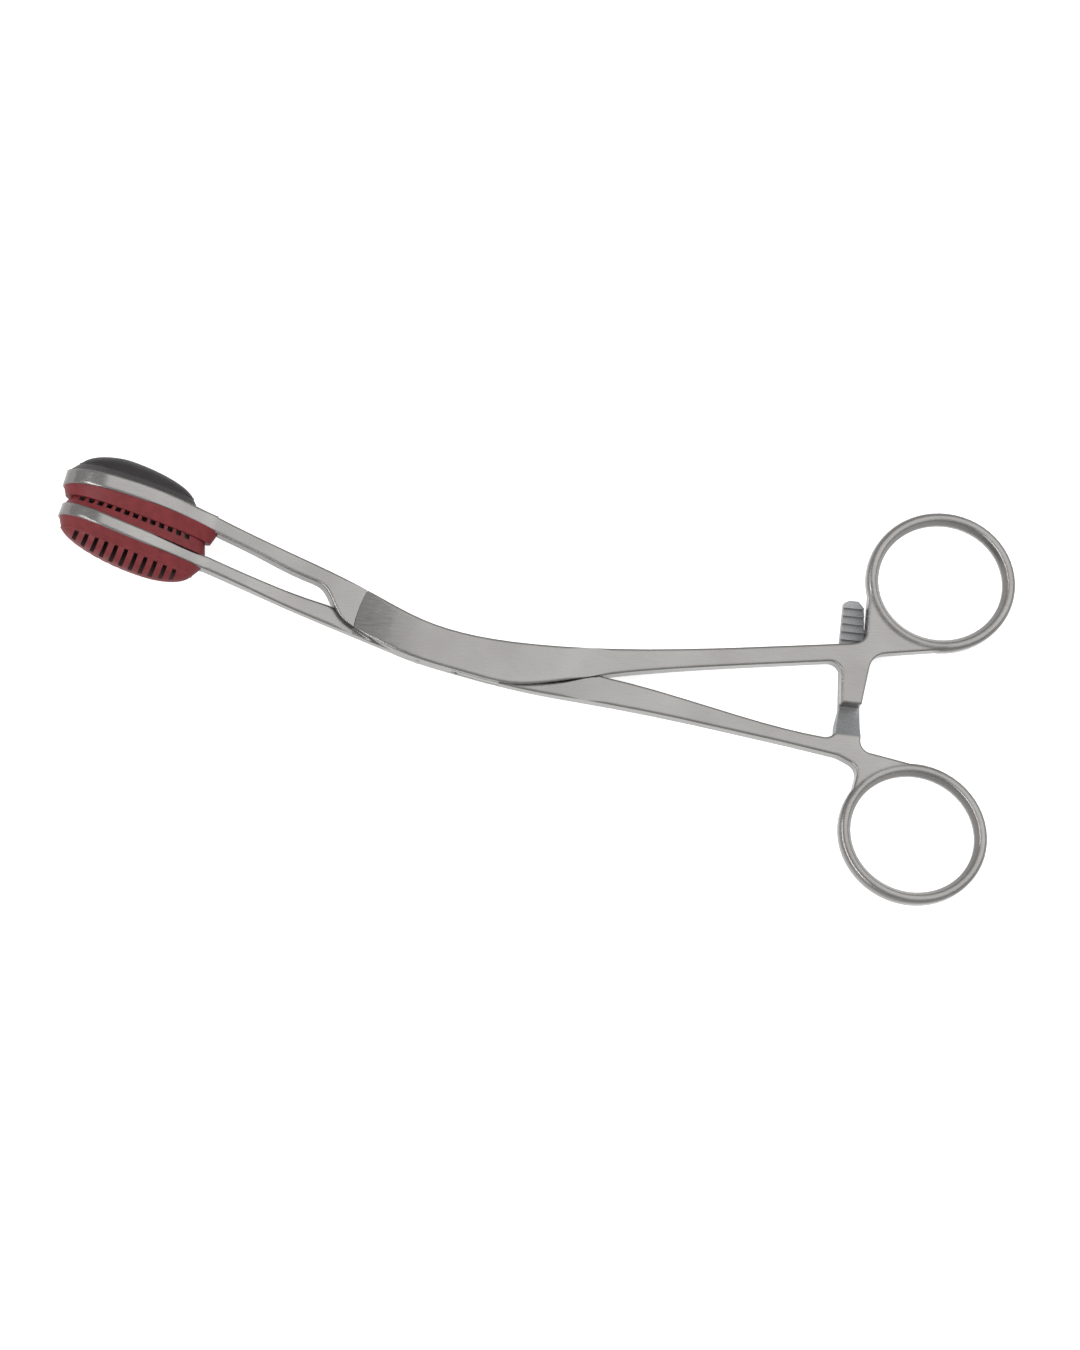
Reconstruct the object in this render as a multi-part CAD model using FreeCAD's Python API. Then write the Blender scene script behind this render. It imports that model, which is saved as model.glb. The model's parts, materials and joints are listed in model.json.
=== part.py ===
import FreeCAD, Part
import math
import os

os.makedirs("parts", exist_ok=True)

V = FreeCAD.Vector
FRONT = V(0, 0, 1)

# Tongue forceps with a box lock, lying flat. All sizes are in millimetres.
# x runs from the pivot toward the finger rings, y toward the upper ring, z out of the front face.
# The origin is where the pivot axis meets the rear face of the lock.

# Thicknesses
lock_thickness = 4.0
cheek_thickness = 1.0
arm_thickness = 2.8
shank_thickness = 3.0
ring_thickness = 3.4

# Lock
seam_radius = 21.4
lock_top_height = 3.2
lock_bottom_height = 3.8
hub_radius = 3.9
pin_radius = 1.5
pin_skin = 0.5
running_clearance = 0.05
seam_clearance = 0.1
side_clearance = 0.15
shoulder_clearance = 0.1
lower_arm_thickness = 2.0
crest_length = 14.0
arm_run = 5.6
shoulder_run = 2.6

# Jaws
jaw_length = 26.5
jaw_width = 11.4
jaw_wall = 1.1
jaw_bow = 0.56
jaw_widest = 0.28
upper_jaw_height = 2.7
lower_jaw_height = 2.2
jaw_tip_reach = 74.6
upper_tip_height = 23.7
lower_tip_height = 18.1
upper_jaw_slope = -11.3
lower_jaw_slope = -15.0
lower_jaw_lead = 0.3
heel_wall = 1.9
neck_lap = 0.5
neck_length = 1.5

# Rubber pads
lip_inset = 0.25
core_heel_inset = 1.3
upper_heel_inset = 2.2
upper_heel_lap = 2.4
lower_heel_lap = 0.5
shoulder_height = 2.15
shoulder_inset = 1.75
crown_height = 5.15
bite_flank = 4.0
bite_slant = 1.4
bite_gap = 0.3
tread_count = 11
tread_pitch = 1.86
tread_width = 0.58
tread_floor = 0.5
tread_spine = 2.4
tread_margin = 0.25
notch_count = 12
notch_pitch = 1.8
notch_width = 0.85
notch_depth = 0.75

# Finger rings
ring_hole_length = 22.6
ring_hole_width = 20.9
ring_bar = 2.2
ring_bevel = 0.75
ring_rounding = 0.9
upper_ring_setback = 14.4
upper_ring_rise = 22.5
upper_ring_turn = 6.0
lower_ring_setback = 12.6
lower_ring_drop = 23.6
lower_ring_turn = -12.0

# Shanks and ratchet
shank_root_width = 4.7
shank_end_width = 3.0
ratchet_reach = 69.0
bar_width = 4.3
front_bar_drop = 1.35
rear_bar_rise = 17.95
bar_clearance = 0.3
rear_bar_thickness = 1.9
tooth_pitch = 1.45
tooth_depth = 0.5
rear_tooth_count = 10
front_tooth_count = 4
web_radius = 2.2

# Derived sizes
mid_plane = lock_thickness / 2
slot_low = cheek_thickness
slot_high = lock_thickness - cheek_thickness
arm_low = mid_plane - arm_thickness / 2
arm_high = mid_plane + arm_thickness / 2
shank_low = mid_plane - shank_thickness / 2
shank_high = mid_plane + shank_thickness / 2
ring_low = mid_plane - ring_thickness / 2
rear_bar_front = shank_low - bar_clearance
rear_bar_back = rear_bar_front - rear_bar_thickness
blade_low = rear_bar_back - 1
blade_high = lock_thickness + 1
beyond = jaw_tip_reach


def polar(radius, angle):
    """Point at a radius and an angle in degrees about the pivot axis."""
    return V(radius * math.cos(math.radians(angle)), radius * math.sin(math.radians(angle)), 0)


def curve(points):
    """Smooth edge through a few points."""
    spline = Part.BSplineCurve()
    spline.interpolate([V(*point) for point in points])
    return spline.toShape()


def prism(edges, low, high):
    """Solid between two levels over a closed outline in the x-y plane."""
    face = Part.Face(Part.Wire(Part.__sortEdges__(edges)))
    face.translate(V(0, 0, low))
    return face.extrude(V(0, 0, high - low))


def polygon(points, low, high):
    """Solid between two levels over a straight-sided outline."""
    loop = [V(*point) for point in points]
    face = Part.Face(Part.makePolygon(loop + loop[:1]))
    face.translate(V(0, 0, low))
    return face.extrude(V(0, 0, high - low))


def level_line(stations):
    """Edges in the x-z plane through stations, level at each and ramped smoothly between two heights."""
    edges = []
    for (x, z), (next_x, next_z) in zip(stations, stations[1:]):
        if z == next_z:
            edges.append(Part.makeLine(V(x, 0, z), V(next_x, 0, z)))
        else:
            middle = (x + next_x) / 2
            ramp = Part.BezierCurve()
            ramp.setPoles([V(x, 0, z), V(middle, 0, z), V(middle, 0, next_z), V(next_x, 0, next_z)])
            edges.append(ramp.toShape())
    return edges


def side_profile(top, bottom, lean=0):
    """Wide solid between two level lines, run across the forceps with a lean along x."""
    ends = []
    for chain in (top, bottom):
        ends.append((chain[0].Vertexes[0].Point, chain[-1].Vertexes[-1].Point))
    sides = [Part.makeLine(ends[0][0], ends[1][0]), Part.makeLine(ends[0][1], ends[1][1])]
    face = Part.Face(Part.Wire(Part.__sortEdges__(top + bottom + sides)))
    face.translate(V(-beyond * lean, -beyond, 0))
    return face.extrude(V(2 * beyond * lean, 2 * beyond, 0))


def rounded(solid, radius, chosen):
    """Fillet the edges that the test chooses."""
    edges = [edge for edge in solid.Edges if chosen(edge)]
    return solid.makeFillet(radius, edges) if edges else solid


def is_upright(edge):
    """True for a straight edge that runs through the thickness."""
    way = edge.Vertexes[-1].Point - edge.Vertexes[0].Point
    return abs(way.z) > 0.999 * edge.Length


def near(edge, place, reach):
    """True for an upright edge that stands close to a place."""
    spot = edge.CenterOfMass
    return is_upright(edge) and math.hypot(spot.x - place[0], spot.y - place[1]) < reach


def tangent_point(outside, radius, side):
    """Where a line from an outside point touches the circle round the pivot."""
    reach = math.hypot(outside[0], outside[1])
    bearing = math.degrees(math.atan2(outside[1], outside[0]))
    return polar(radius, bearing + side * math.degrees(math.acos(radius / reach)))


def jaw_point(jaw, along, outward):
    """Point of a jaw: distance from its tip and distance outward from its centre line."""
    tip, slope, side = jaw
    angle = math.radians(slope)
    return V(
        tip[0] + along * math.cos(angle) - side * outward * math.sin(angle),
        tip[1] + along * math.sin(angle) + side * outward * math.cos(angle),
        0,
    )


upper_jaw = ((-jaw_tip_reach, upper_tip_height), upper_jaw_slope, 1)
lower_jaw = ((-jaw_tip_reach - lower_jaw_lead, lower_tip_height), lower_jaw_slope, -1)
neck_start = jaw_length + neck_lap


def lock_share(across, up):
    """Offset given in shares of the seam's radius."""
    return V(across * seam_radius, up * seam_radius, 0)


# Points that the outlines share
seam_top = polar(seam_radius, 154.5)
seam_foot = polar(seam_radius, 173.5)
arm_notch = lock_share(-1.206, 0.29)
shank_notch = lock_share(1.121, -0.075)
upper_shank_root = shank_notch + lock_share(0, 0.126)
lower_shank_root = shank_notch - lock_share(0, 0.112)
upper_shank_end = polar(ratchet_reach, 6.7)
lower_shank_end = polar(ratchet_reach, -8.1)
seam_lean = (seam_top.x - seam_foot.x) / (seam_top.y - seam_foot.y)
bend_start = lower_shank_end.y + 1.15 * web_radius
bar_room = 1.8 * bar_width
bar_side = ratchet_reach - 0.85 * bar_width
far_left = -jaw_tip_reach - jaw_length
far_right = ratchet_reach + beyond


def between(first, last, share):
    """Point at a share of the way between two points."""
    return first + (last - first) * share


def shank_edge(root, end, side):
    """Points of one edge of a shank, which tapers quickly and then runs on slim."""
    root_half = shank_root_width / 2
    end_half = shank_end_width / 2
    up = V(0, side, 0)
    return [
        root + up * root_half,
        between(root, end, 0.45) + up * (end_half + 0.14 * (root_half - end_half)),
        end + up * end_half,
    ]


def front_top_edge():
    """Upper edge of the front blade, from the jaw to the ratchet."""
    neck = jaw_point(upper_jaw, neck_start, upper_jaw_height / 2)
    points = [
        neck,
        between(neck, seam_top, 0.5),
        seam_top,
        V(0, lock_top_height, 0) + lock_share(-0.47, 0.098),
        V(0, lock_top_height, 0),
        V(0, lock_top_height, 0) + lock_share(0.45, -0.019),
    ]
    return curve(points + shank_edge(upper_shank_root, upper_shank_end, 1))


def arm_under_edge():
    """Lower edge of the upper arm, with the shoulder that stands in front of the lower arm."""
    neck = jaw_point(upper_jaw, neck_start, -upper_jaw_height / 2)
    corner = seam_foot + lock_share(-0.407, 0.367)
    return [
        neck,
        between(neck, corner, 0.5),
        corner,
        seam_foot + lock_share(-0.276, 0.315),
        seam_foot + lock_share(-0.201, 0.21),
        seam_foot + lock_share(-0.117, 0.082),
    ]


def lock_under_edge(gap):
    """Lower edge of the lock's cheeks and of the upper shank."""
    foot = V(0, -lock_bottom_height, 0)
    points = [
        seam_foot,
        lock_share(-0.6, -0.054),
        foot,
        foot + lock_share(0.35, -0.04),
        foot + lock_share(0.66, 0.005),
    ]
    points += shank_edge(upper_shank_root, upper_shank_end, -1)
    return [point + V(0, -gap, 0) for point in points]


def closed_by_lines(top, bottom):
    """Outline edges from two curves that run the same way, closed by a line at each end."""
    return [
        top,
        bottom,
        Part.makeLine(top.Vertexes[0].Point, bottom.Vertexes[0].Point),
        Part.makeLine(top.Vertexes[-1].Point, bottom.Vertexes[-1].Point),
    ]


def front_blade():
    """Front outline from the upper jaw through the lock to the ratchet."""
    bottom = curve(arm_under_edge() + lock_under_edge(0))
    return prism(closed_by_lines(front_top_edge(), bottom), blade_low, blade_high)


def lower_arm_blade():
    """Lower arm from its jaw to the lock, with its upper edge along the tang's path."""
    neck_top = jaw_point(lower_jaw, neck_start, -lower_jaw_height / 2)
    neck_foot = jaw_point(lower_jaw, neck_start, lower_jaw_height / 2)
    notch = arm_notch + V(0, -side_clearance, 0)
    touch = tangent_point(notch, hub_radius + side_clearance, 1)
    top = curve([neck_top, between(neck_top, notch, 0.5) + lock_share(0, -0.019), notch])
    bottom = curve([
        neck_foot,
        between(neck_foot, seam_foot, 0.5) + lock_share(0, -0.03),
        seam_foot + lock_share(0.061, -0.068),
        lock_share(-0.42, -0.103),
    ])
    inner = between(notch, touch, 0.75)
    edges = [
        top,
        bottom,
        Part.makeLine(notch, inner),
        Part.makeLine(inner, bottom.Vertexes[-1].Point),
        Part.makeLine(neck_top, neck_foot),
    ]
    return prism(edges, blade_low, blade_high)


def lower_shank_blade():
    """Lower shank from the lock to the ratchet."""
    start = V(0, -lock_bottom_height, 0) + lock_share(0.25, -0.044)
    top = [start + lock_share(0, 0.084), between(start, shank_notch, 0.6) + lock_share(0, 0.075)]
    top += shank_edge(lower_shank_root, lower_shank_end, 1)
    bottom = [start, lock_share(0.6, -0.262)] + shank_edge(lower_shank_root, lower_shank_end, -1)
    return prism(closed_by_lines(curve(top), curve(bottom)), blade_low, blade_high)


def oval_wire(length, width, centre, turn, level):
    """Elliptic outline at a level."""
    wire = Part.Wire([Part.Ellipse(V(0, 0, 0), length / 2, width / 2).toShape()])
    wire.rotate(V(0, 0, 0), FRONT, turn)
    wire.translate(V(centre[0], centre[1], level))
    return wire


def oval_prism(length, width, centre, turn, low, high):
    """Elliptic solid between two levels."""
    return Part.Face(oval_wire(length, width, centre, turn, low)).extrude(V(0, 0, high - low))


def finger_hole(centre, turn):
    """Cutter for a finger hole, with a bevel toward each face."""
    level = ring_thickness / 2
    hole = oval_prism(ring_hole_length, ring_hole_width, centre, turn, blade_low, blade_high)
    for side in (-1, 1):
        reach = ring_bevel * 1.6
        start = mid_plane + side * (level - reach)
        narrow = oval_wire(ring_hole_length, ring_hole_width, centre, turn, start)
        slope = (reach + 1) / reach
        wide = oval_wire(
            ring_hole_length + 2 * ring_bevel * slope,
            ring_hole_width + 2 * ring_bevel * slope,
            centre,
            turn,
            mid_plane + side * (level + 1),
        )
        hole = hole.fuse(Part.makeLoft([narrow, wide], True, True))
    return hole


upper_ring = ((ratchet_reach + upper_ring_setback, upper_ring_rise), upper_ring_turn)
lower_ring = ((ratchet_reach + lower_ring_setback, -lower_ring_drop), lower_ring_turn)


def finger_ring(ring):
    """Finger ring without its hole, rounded toward both faces."""
    sections = []
    for side in (-1, 1):
        steps = range(4) if side > 0 else range(3, -1, -1)
        for step in steps:
            angle = math.radians(30 * step)
            inset = ring_rounding * (1 - math.cos(angle))
            level = mid_plane + side * (ring_thickness / 2 - ring_rounding * (1 - math.sin(angle)))
            sections.append(oval_wire(
                ring_hole_length + 2 * (ring_bar - inset),
                ring_hole_width + 2 * (ring_bar - inset),
                ring[0],
                ring[1],
                level,
            ))
    return Part.makeLoft(sections, True, True)


def handle(blade, web, bar, fillets):
    """Blade, web and ratchet bar as one plate with rounded corners, before the ring is added."""
    added = [polygon(points, blade_low, blade_high) for points in (web, bar)]
    plate = blade.fuse(added).removeSplitter()
    for place, radius in fillets:
        plate = rounded(plate, radius, lambda edge: near(edge, place, 1.6))
    return plate


def quarter(end, widest, half):
    """Quarter of an ellipse in the x-z plane, from its end on the axis to its widest place."""
    arc = Part.BezierCurve()
    arc.setPoles([V(end, 0, 0), V(end, 0, half), V(widest, 0, half)])
    arc.setWeight(2, math.sqrt(0.5))
    return arc.toShape()


def jaw_curve(tip_inset, side_inset, end_inset):
    """Closed outline of a jaw seen along its thickness: a short half ellipse and a long one."""
    end = jaw_length - end_inset
    half = jaw_width / 2 - side_inset
    widest = tip_inset + jaw_widest * (end - tip_inset)
    arcs = [quarter(x, widest, side * half) for x in (tip_inset, end) for side in (-1, 1)]
    return Part.Wire(Part.__sortEdges__(arcs))


def jaw_slab(wire, low, high):
    """Solid over a jaw outline between two outward distances."""
    face = Part.Face(wire)
    face.translate(V(0, low, 0))
    return face.extrude(V(0, high - low, 0))


def raised(wire, height):
    """Copy of a jaw outline moved outward."""
    copy = wire.copy()
    copy.translate(V(0, height, 0))
    return copy


def jaw_band(height):
    """Steel ring of one jaw with its neck, bowed outward, with its tip at the origin."""
    neck_end = jaw_length + neck_length
    widest = jaw_widest * jaw_length
    edges = [Part.makeLine(V(neck_end, 0, -arm_thickness / 2), V(neck_end, 0, arm_thickness / 2))]
    for side in (-1, 1):
        half = side * jaw_width / 2
        neck_side = side * arm_thickness / 2
        flank = Part.BezierCurve()
        flank.setPoles([
            V(widest, 0, half),
            V(widest + 0.5 * jaw_length, 0, half),
            V(neck_end - 0.15 * jaw_length, 0, neck_side),
            V(neck_end, 0, neck_side),
        ])
        edges += [quarter(0, widest, half), flank.toShape()]
    outline = Part.Wire(Part.__sortEdges__(edges))
    ring = jaw_slab(outline, -height, height + jaw_bow)
    ring = ring.cut(jaw_slab(jaw_curve(jaw_wall, jaw_wall, heel_wall), -2 * height, 3 * height))
    edges = []
    for level in (-height / 2, height / 2):
        bowed = (jaw_length / 2, level + jaw_bow, 0)
        edges.append(curve([(-jaw_wall, level, 0), bowed, (neck_end, level, 0)]))
    strip = prism(closed_by_lines(edges[1], edges[0]), -jaw_width, jaw_width)
    return ring.common(strip)


# Crown of a pad along its jaw, as shares of the jaw's length: how far the shoulder line stays back
# from the tip and from the heel, then the lengths over which the crown rises and falls
upper_crown = (0.08, 0.14, 0.355, 0.52)
lower_crown = (0.05, 0.03, 0.585, 0.35)


def dome(height, crown):
    """Crowned outer side of a pad above its shoulder line, elliptic along the jaw and across it."""
    tip_inset, heel_inset, rise, fall = [share * jaw_length for share in crown]
    side_inset = lip_inset + shoulder_inset
    sections = []
    for step in range(5):
        angle = math.radians(20 * step)
        drawn = 1 - math.cos(angle)
        wire = jaw_curve(
            tip_inset + rise * drawn,
            side_inset + (jaw_width / 2 - side_inset) * drawn,
            heel_inset + fall * drawn,
        )
        sections.append(raised(wire, height + (crown_height - shoulder_height) * math.sin(angle)))
    return Part.makeLoft(sections, True, True)


def pad(height, crown, outer_heel, bite_heel):
    """Plain rubber pad of one jaw, with lips over both edges of the ring, tip at the origin."""
    level = height / 2
    top = level + shoulder_height
    bite = level - jaw_bow / 2
    side_inset = lip_inset + shoulder_inset
    core = jaw_slab(jaw_curve(lip_inset, lip_inset, core_heel_inset), -bite, level)
    outer_lip = jaw_curve(lip_inset, lip_inset, outer_heel)
    shoulder = jaw_curve(crown[0] * jaw_length, side_inset, crown[1] * jaw_length)
    flank = Part.makeLoft([raised(outer_lip, level), raised(shoulder, top)], True, True)
    bite_lip = jaw_curve(lip_inset, lip_inset, bite_heel)
    bite_end = jaw_curve(side_inset, side_inset, bite_heel + bite_slant)
    bite_side = Part.makeLoft([raised(bite_lip, -bite), raised(bite_end, -bite - bite_flank)], True, True)
    return core.fuse([flank, dome(top, crown), bite_side])


def placed(shape, jaw):
    """Move a jaw piece from its own axes to its place in the forceps."""
    tip, slope, side = jaw
    copy = shape.copy()
    if side < 0:
        copy.rotate(V(0, 0, 0), V(1, 0, 0), 180)
    copy.rotate(V(0, 0, 0), FRONT, slope)
    copy.translate(V(tip[0], tip[1], mid_plane))
    return copy


def treads(height, crown):
    """Cross slots in the crowned side of the lower pad: two rows with a spine between them."""
    top = height / 2 + shoulder_height
    first = (jaw_length - tread_width - tread_pitch * (tread_count - 1)) / 2
    edge = jaw_curve(
        crown[0] * jaw_length + tread_margin,
        lip_inset + shoulder_inset + tread_margin,
        crown[1] * jaw_length + tread_margin,
    )
    slots = []
    for index in range(tread_count):
        for start in (tread_spine / 2, -tread_spine / 2 - jaw_width):
            corner = V(first + index * tread_pitch, top + tread_floor, start)
            slots.append(Part.makeBox(tread_width, crown_height, jaw_width, corner))
    return Part.makeCompound(slots).common(jaw_slab(edge, top, top + 2 * crown_height))


def bite_side_cutter(jaw):
    """Block that trims a pad to the biting plane, half of the gap from the line between the jaws."""
    depth = 2 * bite_flank
    tip, heel = [
        between(
            jaw_point(upper_jaw, along, -upper_jaw_height / 2),
            jaw_point(lower_jaw, along, -lower_jaw_height / 2),
            0.5,
        )
        for along in (0, jaw_length)
    ]
    slope = math.degrees(math.atan2(heel.y - tip.y, heel.x - tip.x))
    low = -depth if jaw[2] > 0 else -bite_gap / 2
    block = Part.makeBox(
        2 * jaw_length, depth + bite_gap / 2, 2 * jaw_width, V(-jaw_length / 2, low, -jaw_width)
    )
    block.rotate(V(0, 0, 0), FRONT, slope)
    block.translate(V(tip.x, tip.y, mid_plane))
    return block, tip, slope


def notches():
    """Square slots across the biting side of the lower pad."""
    tip, slope = bite_side_cutter(lower_jaw)[1:]
    first = (jaw_length - notch_width - notch_pitch * (notch_count - 1)) / 2
    slots = []
    for index in range(notch_count):
        corner = V(first + index * notch_pitch, -bite_gap / 2 - notch_depth, -jaw_width)
        slot = Part.makeBox(notch_width, 2 * notch_depth, 2 * jaw_width, corner)
        slot.rotate(V(0, 0, 0), FRONT, slope)
        slot.translate(V(tip.x, tip.y, mid_plane))
        slots.append(slot)
    return Part.makeCompound(slots)


def cheek_room(low, high):
    """Space that the cheeks need between two levels, with a side clearance below them."""
    points = lock_under_edge(side_clearance)
    above = curve([point + lock_share(0, 0.6) for point in points])
    return prism(closed_by_lines(above, curve(points)), low, high)


def seam_disc(gap):
    """Everything on the lock's side of the seam arc."""
    height = blade_high - blade_low
    disc = Part.makeCylinder(seam_radius + gap, height, V(0, 0, blade_low))
    return disc.fuse(Part.makeBox(2 * far_right, 2 * beyond, height, V(0, -beyond, blade_low)))


def tang_side(gap, left):
    """Region of the tang on one side of the pivot: between its edge line and the open side of the lock."""
    if left:
        corner = arm_notch + V(0, -gap, 0)
        touch = tangent_point(corner, hub_radius + gap, 1)
        return [touch, between(touch, corner, 1.6), V(-beyond, beyond, 0), V(0, beyond, 0), V(0, 0, 0)]
    corner = shank_notch + V(0, gap, 0)
    touch = tangent_point(corner, hub_radius + gap, 1)
    end = corner + lock_share(0.07, 0)
    return [touch, corner, end, V(end.x, -beyond, 0), V(0, -beyond, 0), V(0, 0, 0)]


def upper_handle():
    """Front blade with its finger ring and the front ratchet bar."""
    centre = upper_ring[0]
    end = upper_shank_end
    half = bar_width / 2
    ring_side = centre[0] - ring_hole_length / 2 - ring_bar
    ring_foot = centre[1] - ring_hole_width / 2 - ring_bar
    corner = (ratchet_reach + half + 0.65, end.y - 0.15)
    bar = [
        (ratchet_reach - half - 0.45, end.y),
        (ratchet_reach - half + 0.05, -front_bar_drop),
        (ratchet_reach + half - 0.6, -front_bar_drop),
        corner,
    ]
    web = [
        (end.x - 0.6, end.y + shank_end_width / 2 - 0.1),
        (ring_side + 0.7, end.y + shank_end_width / 2 + 0.7),
        (ring_side + 0.7, centre[1]),
        centre,
        (centre[0], ring_foot + 0.15),
        corner,
        (end.x - 0.6, end.y - shank_end_width / 2 + 0.1),
    ]
    fillets = [
        ((bar[0][0], end.y - shank_end_width / 2), web_radius),
        (corner, 1.5 * web_radius),
        (web[1], web_radius),
    ]
    return handle(front_blade(), web, bar, fillets)


def rear_bar_outline():
    """Rear ratchet bar from the lower shank to its narrowed end."""
    half = bar_width / 2
    root = lower_shank_end.y
    reach = ratchet_reach - 0.3
    return [
        (ratchet_reach - half - 0.35, root),
        (ratchet_reach - half - 0.35, 0.57 * root),
        (ratchet_reach - half + 0.3, 0.2 * root),
        (reach - half, 0.6 * rear_bar_rise),
        (reach - half + 0.15, rear_bar_rise - 0.5),
        (reach - half + 1.05, rear_bar_rise),
        (reach + half - 1.6, rear_bar_rise),
        (reach + half - 0.5, rear_bar_rise - 1.15),
        (reach + half, 0.6 * rear_bar_rise),
        (ratchet_reach + half - 0.35, 0.2 * root),
        (ratchet_reach + half - 0.35, root),
    ]


def lower_handle():
    """Lower shank with its finger ring and the rear ratchet bar."""
    centre = lower_ring[0]
    end = lower_shank_end
    half = bar_width / 2
    ring_side = centre[0] - ring_hole_length / 2 - ring_bar
    corner = (ratchet_reach + half - 0.35, end.y)
    web = [
        (end.x - 0.5, end.y + shank_end_width / 2 - 0.2),
        corner,
        (centre[0] + 0.2 * ring_hole_length, centre[1] + ring_hole_width / 2 + 0.5 * ring_bar),
        centre,
        (ring_side + 2.1, centre[1] + 0.32 * ring_hole_width),
        (ring_side + 2.8, end.y - shank_end_width),
        (end.x - 2.2, end.y - shank_end_width / 2 + 0.6),
    ]
    fillets = [
        ((ratchet_reach - half - 0.35, end.y + shank_end_width / 2), web_radius),
        (corner, web_radius),
        ((end.x - 1.2, end.y - 0.45 * shank_end_width), 2 * web_radius),
        (web[5], web_radius),
    ]
    return handle(lower_shank_blade(), web, rear_bar_outline(), fillets)


def front_handle_side():
    """Side view of the box half: crested at the seam, full thickness at the lock, then slimmer."""
    seam = seam_foot.x - seam_lean * seam_foot.y
    lock_end = 0.7 * seam_radius
    slim = 0.9 * ratchet_reach
    slope = (lock_thickness - shank_high) / (0.4 * crest_length)
    crest = Part.BezierCurve()
    crest.setPoles([
        V(seam, 0, shank_high),
        V(seam + 0.4 * crest_length, 0, lock_thickness),
        V(seam + crest_length, 0, lock_thickness),
    ])
    start = seam - 0.2 * crest_length
    lead = Part.makeLine(V(start, 0, shank_high - (seam - start) * slope), V(seam, 0, shank_high))
    front = [
        (seam + crest_length, lock_thickness),
        (lock_end, lock_thickness),
        (slim, shank_high),
        (far_right, shank_high),
    ]
    rear = [(start, 0), (lock_end, 0), (slim, shank_low), (far_right, shank_low)]
    return side_profile([lead, crest.toShape()] + level_line(front), level_line(rear), seam_lean)


def lower_handle_side():
    """Side view of the lower shank, a little thinner where it leaves the lock."""
    front = [
        (0, slot_high),
        (0.35 * seam_radius, slot_high),
        (1.15 * seam_radius, shank_high),
        (far_right, shank_high),
    ]
    return side_profile(level_line(front), level_line([(0, shank_low), (far_right, shank_low)]))


def arm_side(lock_front, lock_rear, lock_end):
    """Side view of an arm, from its jaw to its faces at the lock."""
    neck = -jaw_tip_reach + jaw_length
    front = [(far_left, arm_high), (neck, arm_high), (lock_end, lock_front), (seam_radius, lock_front)]
    rear = [(far_left, arm_low), (neck, arm_low), (lock_end, lock_rear), (seam_radius, lock_rear)]
    return side_profile(level_line(front), level_line(rear))


def slot():
    """Passage of the tang through the lock, between a bridge toward the jaw and one toward the shank."""
    gap = side_clearance
    passage = Part.makeCylinder(hub_radius + gap, slot_high - slot_low, V(0, 0, slot_low))
    return passage.fuse([polygon(tang_side(gap, left), slot_low, slot_high) for left in (True, False)])


def tang():
    """Thin middle of the through half, from the upper arm past the pivot to the lower shank."""
    low = slot_low + running_clearance
    high = slot_high - running_clearance
    room = Part.makeCylinder(hub_radius, high - low, V(0, 0, low))
    room = room.fuse([polygon(tang_side(0, True), low, high), polygon(tang_side(0, False), low, high)])
    middle = Part.makeBox(1.1 * shank_notch.x, 2 * beyond, high - low, V(0, -beyond, low))
    return front_blade().common(room).fuse(lower_shank_blade().common(middle))


def tooth_grooves(first, step, count, level, depth):
    """Sawtooth grooves across a ratchet bar, from a first place along y. A negative depth cuts down."""
    cutters = []
    x = ratchet_reach - bar_width
    lift = level + math.copysign(0.2, -depth)
    for index in range(count):
        y = first + index * step
        end = y + 0.97 * step
        corners = [V(x, y, lift), V(x, y, level + depth), V(x, end, level), V(x, end, lift)]
        face = Part.Face(Part.makePolygon(corners + corners[:1]))
        cutters.append(face.extrude(V(2 * bar_width, 0, 0)))
    return Part.makeCompound(cutters)


def rear_bar_bend():
    """Side view of the rear ratchet bar, which steps back to pass behind the front bar."""
    drop = shank_high - rear_bar_front
    end = -front_bar_drop - bar_clearance
    run = end - bend_start
    corners = [
        (bend_start - shank_end_width / 2, shank_low),
        (bend_start - shank_end_width / 2, shank_high),
        (bend_start, shank_high),
        (bend_start + 0.3 * run, shank_high - 0.42 * drop),
        (bend_start + 0.65 * run, shank_high - 0.73 * drop),
        (end, rear_bar_front),
        (1.3 * rear_bar_rise, rear_bar_front),
        (1.3 * rear_bar_rise, rear_bar_back),
        (bend_start + 0.5 * run, rear_bar_back),
    ]
    face = Part.Face(Part.makePolygon([V(bar_side, y, z) for y, z in corners + corners[:1]]))
    return face.extrude(V(bar_room, 0, 0))


# Box half: upper ring, upper shank, lock and lower arm
lower_band = placed(jaw_band(lower_jaw_height), lower_jaw)
upper_band = placed(jaw_band(upper_jaw_height), upper_jaw)
front_plate = upper_handle().common(front_handle_side()).common(seam_disc(0))
front_plate = front_plate.fuse(finger_ring(upper_ring)).cut(finger_hole(*upper_ring))
first_tooth = 0.4 * tooth_pitch - front_bar_drop
front_plate = front_plate.cut(tooth_grooves(first_tooth, tooth_pitch, front_tooth_count, shank_low, tooth_depth))
lower_arm = lower_arm_blade().common(arm_side(lower_arm_thickness, 0, -seam_radius - arm_run))
pin_seat = Part.makeCylinder(pin_radius, lock_thickness - pin_skin)
box_half = front_plate.cut(slot()).fuse([lower_arm, lower_band]).cut(pin_seat)

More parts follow.
